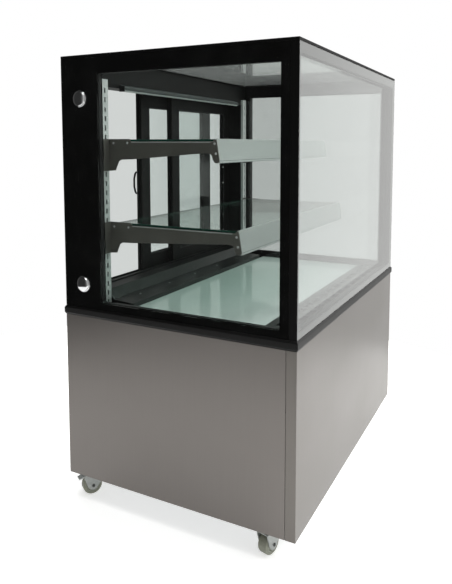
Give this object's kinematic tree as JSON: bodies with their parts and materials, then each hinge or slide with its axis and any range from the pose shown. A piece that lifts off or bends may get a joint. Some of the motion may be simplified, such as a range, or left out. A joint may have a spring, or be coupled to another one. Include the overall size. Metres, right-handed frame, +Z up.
{
  "type": "refrigerated bakery display case",
  "caption": "Upright refrigerated bakery display case: stainless base on swivel casters, square glass cabinet with lit glass shelves and rear sliding doors.",
  "frame": {"origin": "centre of the bounding box at floor level, under the casters", "axes": "+Z up; the glass front faces -Y, the sliding doors are at the back on +Y, and +X is on the right of someone facing the front"},
  "size_m": [0.932, 0.6966, 1.2103],
  "materials": {
    "side_stainless": "satin brushed stainless",
    "front_stainless": "satin brushed stainless",
    "galvanised": "galvanised",
    "black_trim": "gloss black",
    "black_frame": "black anodised",
    "door_frame": "black anodised",
    "black_sheet": "black powder coat",
    "cabinet_glass": "clear with black printed border",
    "door_glass": "clear",
    "deck_glass": "backed pale green",
    "shelf_glass": "clear with green edge",
    "chrome": "polished",
    "standard": "satin",
    "bracket": "satin grey",
    "shelf_rail": "satin anodised",
    "lamp_housing": "satin anodised",
    "lamp_cover": "opal",
    "tub_liner": "smooth dark grey",
    "compressor_black": "gloss black",
    "coil_fins": "plain",
    "fan_plastic": "moulded",
    "control_plastic": "moulded",
    "red_rocker": "gloss",
    "green_rocker": "gloss",
    "zinc_fork": "zinc plated",
    "zinc_pedal": "zinc plated",
    "caster_rubber": "grey thermoplastic"
  },
  "bodies": {
    "case": {"left_side_panel": "side_stainless", "right_side_panel": "side_stainless", "front_panel": "front_stainless", "chassis_tray": "galvanised", "rear_grille": "galvanised", "base_trim": "black_trim", "door_sill": "black_frame", "door_header": "black_frame", "left_post": "black_frame", "right_post": "black_frame", "front_air_grille": "black_sheet", "rear_duct_cover": "black_sheet", "left_end_glass": "cabinet_glass", "right_end_glass": "cabinet_glass", "front_glass": "cabinet_glass", "top_glass": "cabinet_glass", "deck_glass": "deck_glass", "upper_shelf_glass": "shelf_glass", "lower_shelf_glass": "shelf_glass", "left_upper_glass_clamp": "chrome", "left_lower_glass_clamp": "chrome", "right_upper_glass_clamp": "chrome", "right_lower_glass_clamp": "chrome", "left_shelf_standard": "standard", "right_shelf_standard": "standard", "upper_left_bracket": "bracket", "upper_right_bracket": "bracket", "lower_left_bracket": "bracket", "lower_right_bracket": "bracket", "upper_shelf_rail": "shelf_rail", "lower_shelf_rail": "shelf_rail", "lamp_housing": "lamp_housing", "lamp_cover": "lamp_cover", "insulated_tub": "tub_liner", "compressor": "compressor_black", "condenser_fan_motor": "compressor_black", "condenser_coil": "coil_fins", "evaporator_coil": "coil_fins", "controller": "control_plastic", "cord_gland": "control_plastic"},
    "left_door": {"left_door_frame": "door_frame", "left_door_glass": "door_glass", "left_door_handle": "door_frame"},
    "right_door": {"right_door_frame": "door_frame", "right_door_glass": "door_glass", "right_door_pull": "door_frame"},
    "condenser_fan_rotor": {"condenser_fan": "fan_plastic"},
    "evaporator_fan_rotor": {"evaporator_fan": "fan_plastic"},
    "power_rocker": {"power_switch": "red_rocker"},
    "light_rocker": {"light_switch": "green_rocker"},
    "rear_left_caster_swivel": {"rear_left_caster_fork": "zinc_fork"},
    "rear_left_caster_roller": {"rear_left_caster_wheel": "caster_rubber"},
    "rear_left_caster_brake": {"rear_left_caster_brake_pedal": "zinc_pedal"},
    "rear_right_caster_swivel": {"rear_right_caster_fork": "zinc_fork"},
    "rear_right_caster_roller": {"rear_right_caster_wheel": "caster_rubber"},
    "rear_right_caster_brake": {"rear_right_caster_brake_pedal": "zinc_pedal"},
    "front_left_caster_swivel": {"front_left_caster_fork": "zinc_fork"},
    "front_left_caster_roller": {"front_left_caster_wheel": "caster_rubber"},
    "front_right_caster_swivel": {"front_right_caster_fork": "zinc_fork"},
    "front_right_caster_roller": {"front_right_caster_wheel": "caster_rubber"}
  },
  "joints": [
    {"name": "left_door_slide", "type": "slide", "parent": "case", "child": "left_door", "axis": [1, 0, 0], "range_m": [-0.271, 0.115]},
    {"name": "right_door_slide", "type": "slide", "parent": "case", "child": "right_door", "axis": [1, 0, 0], "range_m": [-0.41, 0]},
    {"name": "condenser_fan_spin", "type": "hinge", "parent": "case", "child": "condenser_fan_rotor", "pos_m": [-0.12, 0.16275, 0.208], "axis": [0, 1, 0], "continuous": true},
    {"name": "evaporator_fan_spin", "type": "hinge", "parent": "case", "child": "evaporator_fan_rotor", "pos_m": [0.292, -0.00725, 0.47], "axis": [1, 0, 0], "continuous": true},
    {"name": "power_rocker_tilt", "type": "hinge", "parent": "case", "child": "power_rocker", "pos_m": [0.215, 0.32625, 0.36], "axis": [1, 0, 0], "range_deg": [-16, 0]},
    {"name": "light_rocker_tilt", "type": "hinge", "parent": "case", "child": "light_rocker", "pos_m": [0.175, 0.32625, 0.36], "axis": [1, 0, 0], "range_deg": [-16, 0]},
    {"name": "rear_left_caster_turn", "type": "hinge", "parent": "case", "child": "rear_left_caster_swivel", "pos_m": [-0.4, 0.27375, 0.064], "axis": [0, 0, 1], "continuous": true},
    {"name": "rear_left_wheel_spin", "type": "hinge", "parent": "rear_left_caster_swivel", "child": "rear_left_caster_roller", "pos_m": [-0.42013, 0.28682, 0.0265], "axis": [-0.5446, -0.8387, 0], "continuous": true},
    {"name": "rear_left_brake_press", "type": "hinge", "parent": "rear_left_caster_swivel", "child": "rear_left_caster_brake", "pos_m": [-0.43019, 0.29336, 0.0538], "axis": [-0.5446, -0.8387, 0], "range_deg": [0, 12]},
    {"name": "rear_right_caster_turn", "type": "hinge", "parent": "case", "child": "rear_right_caster_swivel", "pos_m": [0.4, 0.27375, 0.064], "axis": [0, 0, 1], "continuous": true},
    {"name": "rear_right_wheel_spin", "type": "hinge", "parent": "rear_right_caster_swivel", "child": "rear_right_caster_roller", "pos_m": [0.37881, 0.28502, 0.0265], "axis": [-0.4695, -0.8829, 0], "continuous": true},
    {"name": "rear_right_brake_press", "type": "hinge", "parent": "rear_right_caster_swivel", "child": "rear_right_caster_brake", "pos_m": [0.36821, 0.29065, 0.0538], "axis": [-0.4695, -0.8829, 0], "range_deg": [0, 12]},
    {"name": "front_left_caster_turn", "type": "hinge", "parent": "case", "child": "front_left_caster_swivel", "pos_m": [-0.4, -0.26825, 0.064], "axis": [0, 0, 1], "continuous": true},
    {"name": "front_left_wheel_spin", "type": "hinge", "parent": "front_left_caster_swivel", "child": "front_left_caster_roller", "pos_m": [-0.42329, -0.26244, 0.0265], "axis": [-0.2419, -0.9703, 0], "continuous": true},
    {"name": "front_right_caster_turn", "type": "hinge", "parent": "case", "child": "front_right_caster_swivel", "pos_m": [0.4, -0.26825, 0.064], "axis": [0, 0, 1], "continuous": true},
    {"name": "front_right_wheel_spin", "type": "hinge", "parent": "front_right_caster_swivel", "child": "front_right_caster_roller", "pos_m": [0.37745, -0.26004, 0.0265], "axis": [-0.342, -0.9397, 0], "continuous": true}
  ]
}
